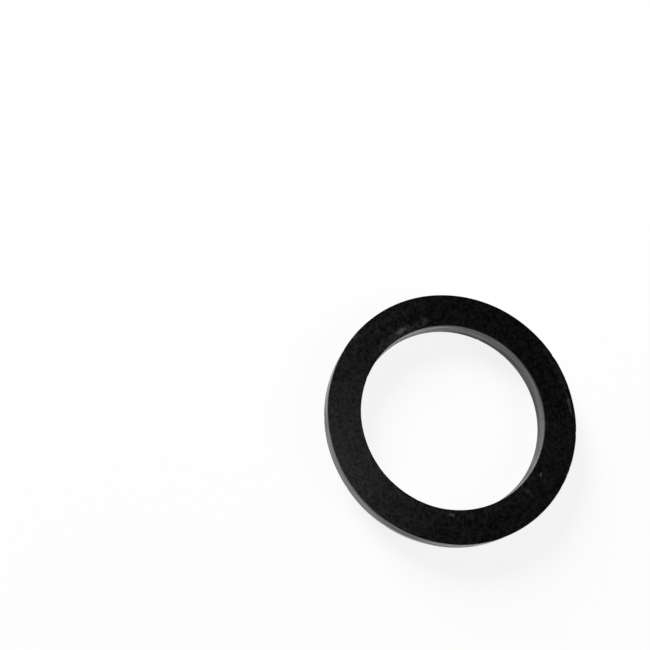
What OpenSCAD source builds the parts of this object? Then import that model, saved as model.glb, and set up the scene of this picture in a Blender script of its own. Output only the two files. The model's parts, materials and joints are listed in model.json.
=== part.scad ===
// Flat rubber washer that seals a union joint beside a meter.
// It is one ring of rectangular section, lying flat, with its axis along +Z
// and its origin at the centre of the lower sealing face. Sizes are in millimetres.

/* [Ring] */
// Outside diameter, which drops into the union nut
outer_d = 38; // [34:0.5:60]
// Bore diameter, the clear way for the flow
bore_d = 28; // [18:0.5:30]
// Thickness between the two sealing faces
thickness = 3.2; // [1.5:0.1:6]

/* [Edges] */
// Rounding of the two rim edges
rim_edge_r = 0.05; // [0.02:0.01:0.6]
// Rounding of the two bore edges
bore_edge_r = 0.05; // [0.02:0.01:0.6]

/* [Hidden] */
// Colour of the cut rubber
rubber_black = [0.07, 0.07, 0.07];
// Segments of the ring and of one small edge circle
ring_fn = 240;
edge_fn = 48;
// Radii of the two walls
outer_r = outer_d / 2;
bore_r = bore_d / 2;

// What comes off a sharp corner to leave it round. The corner is at the origin
// and the rubber lies towards +X and +Y.
module corner_waste(r) {
    difference() {
        translate([-r, -r]) square(2 * r);
        translate([r, r]) circle(r, $fn = edge_fn);
    }
}

// Half section of the ring, standing in the plane that holds its axis
module ring_section() {
    difference() {
        translate([bore_r, 0]) square([outer_r - bore_r, thickness]);
        translate([bore_r, 0]) corner_waste(bore_edge_r);
        translate([bore_r, thickness]) mirror([0, 1]) corner_waste(bore_edge_r);
        translate([outer_r, 0]) mirror([1, 0]) corner_waste(rim_edge_r);
        translate([outer_r, thickness]) rotate(180) corner_waste(rim_edge_r);
    }
}

module washer() {
    color(rubber_black) rotate_extrude($fn = ring_fn) ring_section();
}

washer();
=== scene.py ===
import json
import math
import random

import bmesh
import bpy
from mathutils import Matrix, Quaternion, Vector, noise


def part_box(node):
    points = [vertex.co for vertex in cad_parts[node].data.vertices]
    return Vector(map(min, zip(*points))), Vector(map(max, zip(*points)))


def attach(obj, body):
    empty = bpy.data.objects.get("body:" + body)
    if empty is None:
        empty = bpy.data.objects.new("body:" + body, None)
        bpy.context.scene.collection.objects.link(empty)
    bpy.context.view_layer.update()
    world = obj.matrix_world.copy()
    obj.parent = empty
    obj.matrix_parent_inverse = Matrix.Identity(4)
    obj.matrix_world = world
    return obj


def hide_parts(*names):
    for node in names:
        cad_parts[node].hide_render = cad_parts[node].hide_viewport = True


mm = 0.001  # the frame is in metres

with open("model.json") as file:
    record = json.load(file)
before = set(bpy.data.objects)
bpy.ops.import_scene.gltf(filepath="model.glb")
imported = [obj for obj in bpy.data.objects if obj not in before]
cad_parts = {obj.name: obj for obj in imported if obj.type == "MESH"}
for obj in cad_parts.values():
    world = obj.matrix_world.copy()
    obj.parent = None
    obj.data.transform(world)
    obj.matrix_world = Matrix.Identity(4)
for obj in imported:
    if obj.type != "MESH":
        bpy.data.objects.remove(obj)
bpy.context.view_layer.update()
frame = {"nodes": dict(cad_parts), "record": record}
print("frame loaded:", ", ".join(sorted(frame["nodes"])))

scene = bpy.context.scene
scene.view_settings.view_transform = "Standard"


class Wire:
    # one shader value: maths on it adds Math nodes, and node() adds any other kind
    def __init__(self, tree, socket=None):
        self.tree = tree
        self.socket = socket

    def node(self, kind, settings=None, sockets=None, output=0):
        made = self.tree.nodes.new("ShaderNode" + kind)
        for name, value in (settings or {}).items():
            setattr(made, name, value)
        for name, value in (sockets or {}).items():
            if isinstance(value, Wire):
                self.tree.links.new(value.socket, made.inputs[name])
            else:
                made.inputs[name].default_value = value
        found = made.outputs[output] if made.outputs else None
        return Wire(self.tree, found)

    def output(self, name):
        return Wire(self.tree, self.socket.node.outputs[name])

    def math(self, operation, *values):
        return self.node("Math", {"operation": operation}, dict(enumerate(values)))

    def __add__(self, other):
        return self.math("ADD", self, other)

    def __radd__(self, other):
        return self.math("ADD", other, self)

    def __sub__(self, other):
        return self.math("SUBTRACT", self, other)

    def __rsub__(self, other):
        return self.math("SUBTRACT", other, self)

    def __mul__(self, other):
        return self.math("MULTIPLY", self, other)

    def __rmul__(self, other):
        return self.math("MULTIPLY", other, self)

    def __truediv__(self, other):
        return self.math("DIVIDE", self, other)

    def __rtruediv__(self, other):
        return self.math("DIVIDE", other, self)

    def __pow__(self, power):
        return self.math("POWER", self, power)

    def ramp(self, low, high):  # 0 at low, 1 at high, soft at both ends
        settings = {"interpolation_type": "SMOOTHSTEP"}
        return self.node("MapRange", settings, {"Value": self, "From Min": low, "From Max": high})

    def scaled(self, factor):
        sockets = {"Vector": self, "Scale": factor}
        return self.node("VectorMath", {"operation": "SCALE"}, sockets)

    def split(self):
        first = self.node("SeparateXYZ", {}, {"Vector": self})
        return first, first.output("Y"), first.output("Z")

    def vector(self, x, y, z):
        return self.node("CombineXYZ", {}, {"X": x, "Y": y, "Z": z})

    def noise(self, scale, detail, roughness):
        sockets = {"Vector": self, "Scale": scale, "Detail": detail, "Roughness": roughness}
        return self.node("TexNoise", {}, sockets)


def newMaterial(name):
    material = bpy.data.materials.new(name)
    material.use_nodes = True
    material.node_tree.nodes.clear()
    return material, Wire(material.node_tree)


def grey(value):
    return (value, value, value, 1.0)


# the washer: sizes come from the frame, relief is what the knife and handling left
mounts = {mount["name"]: mount["dims"] for mount in frame["record"]["mounts"]}
lowCorner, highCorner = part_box("washer")
thickness = highCorner.z - lowCorner.z
outerRadius = mounts["rim"]["r_mm"] * mm
boreRadius = mounts["bore"]["r_mm"] * mm

washerSet = {
    "rimEdge": (thickness - mounts["rim"]["length_mm"] * mm) / 2,
    "boreEdge": (thickness - mounts["bore"]["length_mm"] * mm) / 2,
    "segments": 720,  # steps round the ring
    "lowerSteps": 22,  # and across each stretch of the section
    "upperSteps": 58,
    "wallSteps": 14,
    "edgeSteps": 6,
    "wander": 0.025 * mm,  # how far the cut walls stray into the rubber
    "wanderSpots": (0.09, 0.4),  # slow and quick strays per mm
    "slowShare": 0.75,
    "wallLines": 0.07 * mm,  # depth of the knife's lines on the walls
    "wallLineSteps": (2.2, 1.4),  # how often they change round the ring, and per mm of height
    "hollows": 0.012 * mm,  # how far the faces sink in
    "hollowSpots": 0.3,
    "knifeRings": 0.0016 * mm,  # depth of the knife's rings on the faces
    "ringSteps": (5, 2.6),  # how often they change round the ring, and per mm of radius
    "edgeWear": 0.02 * mm,
    "edgeSpots": 0.55,
    "nicks": 18,
    "nickDepth": (0.02 * mm, 0.06 * mm),
    "nickReach": (0.3 * mm, 0.8 * mm),
    "seed": 7,
    "strips": 2,  # the unwrapped skin lies in this many rows
    "stripGap": 0.02,
}


def sectionOutline():
    # closed outline as (radius, height) with its outward direction, bore's foot first
    made = []
    rim = washerSet["rimEdge"]
    bore = washerSet["boreEdge"]

    def line(start, end, steps):
        ahead = (end - start).normalized()
        for step in range(steps):
            made.append((start.lerp(end, step / steps), Vector((ahead.y, -ahead.x))))

    def corner(centre, size, fromAngle):  # a quarter circle
        for step in range(washerSet["edgeSteps"]):
            turn = math.radians(fromAngle + 90 * step / washerSet["edgeSteps"])
            outward = Vector((math.cos(turn), math.sin(turn)))
            made.append((centre + outward * size, outward))

    inner, outer, top = boreRadius, outerRadius, thickness
    line(Vector((inner + bore, 0)), Vector((outer - rim, 0)), washerSet["lowerSteps"])
    corner(Vector((outer - rim, rim)), rim, -90)
    line(Vector((outer, rim)), Vector((outer, top - rim)), washerSet["wallSteps"])
    corner(Vector((outer - rim, top - rim)), rim, 0)
    line(Vector((outer - rim, top)), Vector((inner + bore, top)), washerSet["upperSteps"])
    corner(Vector((inner + bore, top - bore)), bore, 90)
    line(Vector((inner, top - bore)), Vector((inner, bore)), washerSet["wallSteps"])
    corner(Vector((inner + bore, bore)), bore, 180)
    return made


def scatterNicks():
    draw = random.Random(washerSet["seed"])
    nicks = []
    for index in range(washerSet["nicks"]):
        angle = draw.uniform(0, 2 * math.pi)
        spoke = Vector((math.cos(angle), math.sin(angle), 0))
        onRim = index % 3 > 0  # every third nick is in the bore's edges
        onTop = index % 2 > 0  # and every other one underneath
        corner = Vector((outerRadius if onRim else boreRadius, thickness if onTop else 0.0))
        push = spoke * (1 if onRim else -1) + Vector((0, 0, 1 if onTop else -1))
        nicks.append({
            "corner": corner,
            "centre": spoke * corner.x + Vector((0, 0, corner.y)),
            "push": push.normalized(),
            "reach": draw.uniform(*washerSet["nickReach"]),
            "depth": draw.uniform(*washerSet["nickDepth"]),
        })
    return nicks


def softNoise(place, scale=1.0):  # from 0 to 1
    return 0.5 + 0.5 * noise.noise(place * scale)


def weathered(spoke, point, outward, nicks):
    # where a point of the true section comes to lie: always inside it
    place = spoke * point.x + Vector((0, 0, point.y))
    spot = place / mm
    lineTurn, lineRise = washerSet["wallLineSteps"]
    lines = spoke * lineTurn + Vector((0, 0, lineRise * spot.z))
    ringTurn, ringReach = washerSet["ringSteps"]
    rings = spoke * ringTurn + Vector((0, 0, ringReach * point.x / mm))
    slow, quick = washerSet["wanderSpots"]
    share = washerSet["slowShare"]
    wandering = share * softNoise(spot, slow) + (1 - share) * softNoise(spot, quick)
    cutIn = washerSet["wander"] * wandering + washerSet["wallLines"] * max(0.0, noise.noise(lines))
    hollow = washerSet["hollows"] * softNoise(spot, washerSet["hollowSpots"])
    sunk = hollow + washerSet["knifeRings"] * softNoise(rings)
    # -1 at the bore and 1 at the rim, -1 below and 1 above
    across = (2 * point.x - outerRadius - boreRadius) / (outerRadius - boreRadius)
    up = 2 * point.y / thickness - 1
    place -= spoke * (across * cutIn) + Vector((0, 0, up * sunk))
    edge = 2 * abs(outward.x * outward.y)  # 1 in the middle of a rounded edge
    worn = edge * washerSet["edgeWear"] * softNoise(spot, washerSet["edgeSpots"])
    place -= (spoke * outward.x + Vector((0, 0, outward.y))) * worn
    for nick in nicks:
        close = 1 - (place - nick["centre"]).length / nick["reach"]
        if close > 0:
            place -= nick["push"] * (nick["depth"] * close * close * (3 - 2 * close))
    return place


def buildWasher():
    outline = sectionOutline()
    nicks = scatterNicks()
    rows = len(outline)
    turns = washerSet["segments"]
    mesh = bpy.data.meshes.new("rubberWasher")
    work = bmesh.new()
    rings = []
    for point, outward in outline:
        ringVerts = []
        nearby = [nick for nick in nicks if (nick["corner"] - point).length < nick["reach"]]
        for step in range(turns):
            angle = 2 * math.pi * step / turns
            spoke = Vector((math.cos(angle), math.sin(angle), 0))
            ringVerts.append(work.verts.new(weathered(spoke, point, outward, nearby)))
        rings.append(ringVerts)

    # share of the way round the section at each row, for the unwrapped skin
    reached = [0.0]
    for row in range(rows):
        reached.append(reached[-1] + (outline[(row + 1) % rows][0] - outline[row][0]).length)
    skin = work.loops.layers.uv.new("OFBake")
    strips, gap = washerSet["strips"], washerSet["stripGap"]
    for row in range(rows):
        first, second = rings[row], rings[(row + 1) % rows]
        low, high = reached[row] / reached[-1], reached[row + 1] / reached[-1]
        for step in range(turns):
            after = (step + 1) % turns
            face = work.faces.new((first[step], first[after], second[after], second[step]))
            face.smooth = True
            strip = step * strips // turns
            left, right = step * strips / turns - strip, (step + 1) * strips / turns - strip
            corners = ((left, low), (right, low), (right, high), (left, high))
            for loop, (along, across) in zip(face.loops, corners):
                u = gap + along * (1 - 2 * gap)
                v = (strip + gap + across * (1 - 2 * gap)) / strips
                loop[skin].uv = (u, v)
    work.to_mesh(mesh)
    work.free()
    washer = bpy.data.objects.new("rubberWasher", mesh)
    scene.collection.objects.link(washer)
    return washer


rubberSet = {
    "black": 0.0014,  # tone of the faces
    "wallBlack": 0.004,
    "deepest": 0.0003,  # no spot is darker
    "ior": 1.5,
    "drawnOut": 0.19,  # stretch of the sheen
    "drawnWay": 0.25,  # a quarter turn, so it runs across the knife's path
    "faceRoughness": 0.215,
    "rimRoughness": 0.38,
    "boreRoughness": 0.31,
    "rimFoot": -0.06,  # added towards the foot of a wall
    "boreFoot": 0.15,
    "edgeRoughness": 0.60,  # added on the edges
    "edgeTone": 0.010,  # added where they are worn
    "film": 0.5,  # waxy film that clouds the faces
    "filmRoughness": 0.24,
    "relief": 0.016 * mm,
    # where one finish meets the next, by the tilt of the surface: 0 on a wall, 1 on a face
    "faceFrom": (0.55, 0.95),
    "edgeFrom": (0.1, 0.5),
    "edgeTo": (0.75, 0.99),
    "marksBelow": (0.4, 0.15),  # mm under the upper face, where marks start and where they are whole
    "footShare": (0.1, 0.75),  # shares of the height between which a wall's foot fades out
    "sideMargin": 1.0,  # mm in from both walls, between which bore goes over to rim
    # patterns, in spots per mm
    "spots": {
        "grain": {"scale": 8.0, "detail": 2.0, "roughness": 0.6},
        "mottle": {"scale": 2.2, "detail": 3.0, "roughness": 0.6},
        "blotch": {"scale": 0.9, "detail": 3.0, "roughness": 0.6},
        "clouds": {"scale": 0.32, "detail": 3.0, "roughness": 0.55},
    },
    "shift": (0.3, 0.5, 1.6),  # mm, so no face lies on a seam of a pattern
    # knife lines, per mm of radius and of height
    "lines": {"scale": 1.0, "detail": 4.0, "roughness": 0.62},
    "faceLines": 4.0,
    "wallLines": 1.1,
    "lineStart": 0.6,
    "sweep": 1.7,  # how often they change on their way round
    "ringsShow": (0.4, 0.65),  # clouds in which they come up as rings on a face
    "wearShows": {"clouds": (0.45, 0.7), "mottle": (0.35, 0.65)},  # spots where an edge is worn
    # what each pattern does
    "faceToneBy": {"mottle": 9.0, "blotch": 1.5, "rings": 3.0},
    "wallToneBy": {"lines": 6.0, "mottle": 1.5},
    "faceRoughnessBy": {"mottle": 0.06, "blotch": 0.06, "clouds": 0.10},
    "wallRoughnessBy": {"lines": 1.3},
    "filmBy": {"mottle": 2.8, "blotch": 1.2, "rings": 2.2},
    "reliefBy": {"mottle": 0.7, "blotch": 1.2, "grain": 0.05, "rings": 0.3},
    "ragBy": {"mottle": -5.0, "grain": -2.0},
    "markRim": (-0.3, 1.6),  # a mark fades out between these, and 1 is its oval
    # pale marks on the upper face, and one painted highlight where the rim's edge catches the key
    # lamp:
    # where they lie, half length and half width in mm, slant from the way round the ring in degrees,
    # tone
    "marks": [
        {"turn": 169.8, "radius": 14.88, "long": 0.85, "wide": 0.36, "slant": 6, "tone": 0.035},
        {"turn": 155.0, "radius": 14.95, "long": 1.30, "wide": 0.50, "slant": -14, "tone": 0.011},
        {"turn": 175.0, "radius": 14.75, "long": 4.50, "wide": 0.75, "slant": 0, "tone": 0.012},
        {"turn": 15.2, "radius": 15.47, "long": 0.42, "wide": 0.20, "slant": -23, "tone": 0.045},
        {"turn": -44.9, "radius": 14.77, "long": 0.40, "wide": 0.27, "slant": 0, "tone": 0.031},
        {"turn": -40.0, "radius": 14.65, "long": 12.0, "wide": 0.50, "slant": 0, "tone": 0.003},
        {"turn": 2.3, "radius": 15.20, "long": 0.80, "wide": 0.40, "slant": 80, "tone": 0.012},
        {"turn": 55.4, "radius": 18.30, "long": 1.35, "wide": 0.21, "slant": 0, "tone": 0.030},
        {"turn": 72.0, "radius": 18.35, "long": 5.00, "wide": 0.35, "slant": 0, "tone": 0.005},
        # painted highlight: the key lamp's glint on the rim's edge, painted into the colour as a pale
        # mark
        {"turn": 191.5, "radius": 18.60, "long": 1.30, "wide": 0.30, "slant": 0, "tone": 0.011},
        {"turn": 200.0, "radius": 18.20, "long": 5.00, "wide": 0.90, "slant": 0, "tone": 0.003},
        {"turn": 169.0, "radius": 17.50, "long": 3.50, "wide": 1.30, "slant": 0, "tone": 0.003},
    ],
}
middle = 0.5  # of every pattern


def swing(patterns, shares):  # named patterns about their middle, each with its share
    total = 0
    for name, share in shares.items():
        total = total + share * (patterns[name] - middle)
    return total


# pale marks added to the tone; one of them is a painted highlight on the rim's edge
def paleMarksAndHighlight(turn, radius, rag):
    found = 0
    for mark in rubberSet["marks"]:
        turned = turn.math("WRAP", turn - math.radians(mark["turn"]), math.pi, -math.pi)
        along = turned * mark["radius"]
        across = radius - mark["radius"]
        slant = math.radians(mark["slant"])
        cos, sin = math.cos(slant), math.sin(slant)
        lengthwise = (along * cos + across * sin) / mark["long"]
        sidewise = (across * cos - along * sin) / mark["wide"]
        away = lengthwise * lengthwise + sidewise * sidewise
        found = found + mark["tone"] * (1 - (away + rag).ramp(*rubberSet["markRim"]))
    return found


def rubberMaterial():
    material, wire = newMaterial("cutRubber")
    coords = wire.node("TexCoord", {}, {}, "Object")
    place = coords.scaled(1 / mm)
    x, y, z = place.split()
    radius = (x * x + y * y) ** 0.5
    turn = y.math("ARCTAN2", y, x)
    tilt = coords.output("Normal").split()[2]
    tilt = tilt.math("ABSOLUTE", tilt)
    flat = tilt.ramp(*rubberSet["faceFrom"])
    edge = tilt.ramp(*rubberSet["edgeFrom"]) * (1 - tilt.ramp(*rubberSet["edgeTo"]))
    tall = thickness / mm
    start, whole = rubberSet["marksBelow"]
    upper = z.ramp(tall - start, tall - whole)
    low, high = rubberSet["footShare"]
    foot = 1 - z.ramp(low * tall, high * tall)
    margin = rubberSet["sideMargin"]
    rimSide = radius.ramp(boreRadius / mm + margin, outerRadius / mm - margin)

    shifted = wire.node("VectorMath", {"operation": "ADD"}, {0: place, 1: rubberSet["shift"]})
    patterns = {name: shifted.noise(**facts) for name, facts in rubberSet["spots"].items()}
    sweep = rubberSet["sweep"] / radius
    across = rubberSet["lineStart"] + rubberSet["faceLines"] * radius + rubberSet["wallLines"] * z
    patterns["lines"] = wire.vector(x * sweep, y * sweep, across).noise(**rubberSet["lines"])
    comeAndGo = patterns["clouds"].ramp(*rubberSet["ringsShow"])
    patterns["rings"] = middle + (patterns["lines"] - middle) * comeAndGo

    faceTone = rubberSet["black"] * (1 + swing(patterns, rubberSet["faceToneBy"]))
    wallTone = rubberSet["wallBlack"] * (1 + swing(patterns, rubberSet["wallToneBy"]))
    tone = wallTone + (faceTone - wallTone) * flat
    # pale marks on the upper face, one of them a painted highlight on the rim's edge
    tone = tone + paleMarksAndHighlight(turn, radius, swing(patterns, rubberSet["ragBy"])) * upper
    worn = edge
    for name, span in rubberSet["wearShows"].items():
        worn = worn * patterns[name].ramp(*span)
    tone = tone + rubberSet["edgeTone"] * worn
    tone = tone.math("MAXIMUM", tone, rubberSet["deepest"])
    colour = wire.vector(tone, tone, tone)

    faceRough = rubberSet["faceRoughness"] + swing(patterns, rubberSet["faceRoughnessBy"])
    boreRough = rubberSet["boreRoughness"] + rubberSet["boreFoot"] * foot
    rimRough = rubberSet["rimRoughness"] + rubberSet["rimFoot"] * foot
    wallRough = boreRough + (rimRough - boreRough) * rimSide
    wallRough = wallRough + swing(patterns, rubberSet["wallRoughnessBy"])
    rough = wallRough + (faceRough - wallRough) * flat + rubberSet["edgeRoughness"] * edge

    film = rubberSet["film"] + swing(patterns, rubberSet["filmBy"])
    film = wire.node("Clamp", {}, {"Value": film})
    height = swing(patterns, rubberSet["reliefBy"])
    bump = wire.node("Bump", {}, {"Strength": 1.0, "Distance": rubberSet["relief"], "Height": height})
    sockets = {
        "Base Color": colour,
        "Roughness": rough,
        "IOR": rubberSet["ior"],
        "Anisotropic": rubberSet["drawnOut"],
        "Anisotropic Rotation": rubberSet["drawnWay"],
        "Coat Weight": film * flat,
        "Coat Roughness": rubberSet["filmRoughness"],
        "Normal": bump,
    }
    surface = wire.node("BsdfPrincipled", {}, sockets)
    wire.node("OutputMaterial", {}, {"Surface": surface})
    return material


washer = buildWasher()
washer.data.materials.append(rubberMaterial())
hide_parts("washer")
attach(washer, "root")
print("washer built:", len(washer.data.polygons), "faces")


floorSet = {
    "radius": 1.6,
    "sides": 96,
    "below": 0.01 * mm,  # just clear of the ring
    "colour": 0.9,
    "shadowReach": (0.045, 0.14),  # between these the floor goes over to plain white
    "whiteNear": 0.86,  # share of plain white close to the ring
}


def rayKinds(wire):  # 1 for what the camera sees, and 1 for what a surface mirrors or lets through
    seen = wire.node("LightPath")
    glossy, through = seen.output("Is Glossy Ray"), seen.output("Is Transmission Ray")
    return seen, seen.math("MAXIMUM", glossy, through)


def buildFloor():
    mesh = bpy.data.meshes.new("paleFloor")
    work = bmesh.new()
    bmesh.ops.create_circle(work, cap_ends=True, segments=floorSet["sides"], radius=floorSet["radius"])
    work.to_mesh(mesh)
    work.free()
    floor = bpy.data.objects.new("paleFloor", mesh)
    floor.location.z = -floorSet["below"]
    scene.collection.objects.link(floor)
    material, wire = newMaterial("paleFloor")
    place = wire.node("TexCoord", {}, {}, "Object")
    away = place.node("VectorMath", {"operation": "LENGTH"}, {0: place}, "Value")
    beyond = away.ramp(*floorSet["shadowReach"])
    seen, mirrored = rayKinds(wire)
    white = mirrored + seen * (floorSet["whiteNear"] + (1 - floorSet["whiteNear"]) * beyond)
    matt = wire.node("BsdfDiffuse", {}, {"Color": grey(floorSet["colour"])})
    glow = wire.node("Emission", {}, {"Color": grey(1.0), "Strength": 1.0})
    surface = wire.node("MixShader", {}, {0: white, 1: matt, 2: glow})
    wire.node("OutputMaterial", {}, {"Surface": surface})
    floor.data.materials.append(material)


worldSet = {
    "room": 0.012,  # faint light from all round
    "paper": 1.0,  # white past the floor's edge
    "paperTop": (0.06, 0.26),  # sines of the heights between which mirrored paper ends
}


def buildWorld():
    world = bpy.data.worlds.new("studio")
    scene.world = world
    world.use_nodes = True
    world.node_tree.nodes.clear()
    wire = Wire(world.node_tree)
    seen, mirrored = rayKinds(wire)
    height = wire.node("TexCoord", {}, {}, "Generated").split()[2]
    white = seen + mirrored * (1 - height.ramp(*worldSet["paperTop"]))
    room = wire.node("Background", {}, {"Color": grey(1.0), "Strength": worldSet["room"]})
    paper = wire.node("Background", {}, {"Color": grey(1.0), "Strength": worldSet["paper"]})
    surface = wire.node("MixShader", {}, {0: white, 1: room, 2: paper})
    wire.node("OutputWorld", {}, {"Surface": surface})


# round lamps: degrees, metres and watts
lampSet = {
    "keyBox": {"azimuth": 170, "elevation": 22, "distance": 0.8, "size": 0.45, "power": 14.2},
    "fillBox": {"azimuth": 38, "elevation": 30, "distance": 0.8, "size": 0.45, "power": 3.1},
    "topCard": {"azimuth": 121.5, "elevation": 81.5, "distance": 0.5, "size": 0.15, "power": 0.0285},
}


def addLamp(name, facts):
    data = bpy.data.lights.new(name, "AREA")
    data.shape = "DISK"
    data.size = facts["size"]
    data.energy = facts["power"]
    lamp = bpy.data.objects.new(name, data)
    turn = math.radians(facts["azimuth"])
    rise = math.radians(facts["elevation"])
    aim = Vector((math.cos(turn) * math.cos(rise), math.sin(turn) * math.cos(rise), math.sin(rise)))
    lamp.location = aim * facts["distance"]
    lamp.rotation_mode = "QUATERNION"
    lamp.rotation_quaternion = (-aim).to_track_quat("-Z", "Y")
    scene.collection.objects.link(lamp)


buildFloor()
buildWorld()
for lampName, lampFacts in lampSet.items():
    addLamp(lampName, lampFacts)
print("stage and lamps set")


cameraSet = {
    "lens": 60.8,  # mm, on the sensor below
    "sensor": 36.0,
    "frame": 650,  # pixels across the picture
    "ringAt": (454.1, 415.25),  # pixel of the middle of the upper face
    "elevation": 68.5,  # degrees above the face
    "roll": 48.6,
    "distance": 164.2 * mm,
    "clipStart": 10 * mm,
}


def placeCamera():
    data = bpy.data.cameras.new("photoCamera")
    data.lens = cameraSet["lens"]
    data.sensor_width = cameraSet["sensor"]
    data.clip_start = cameraSet["clipStart"]
    camera = bpy.data.objects.new("photoCamera", data)
    rise = math.radians(cameraSet["elevation"])
    back = Vector((0, -math.cos(rise), math.sin(rise)))
    look = (-back).to_track_quat("-Z", "Y")
    roll = Quaternion((0, 0, 1), math.radians(cameraSet["roll"]))
    lensPixels = cameraSet["lens"] / cameraSet["sensor"] * cameraSet["frame"]
    across = (cameraSet["ringAt"][0] - cameraSet["frame"] / 2) / lensPixels
    down = (cameraSet["ringAt"][1] - cameraSet["frame"] / 2) / lensPixels
    aside = Vector((across, -down, -1)).rotation_difference(Vector((0, 0, -1)))
    camera.rotation_mode = "QUATERNION"
    camera.rotation_quaternion = look @ roll @ aside
    camera.location = Vector((0, 0, thickness)) + back * cameraSet["distance"]
    scene.collection.objects.link(camera)
    scene.camera = camera


placeCamera()
print("camera set")
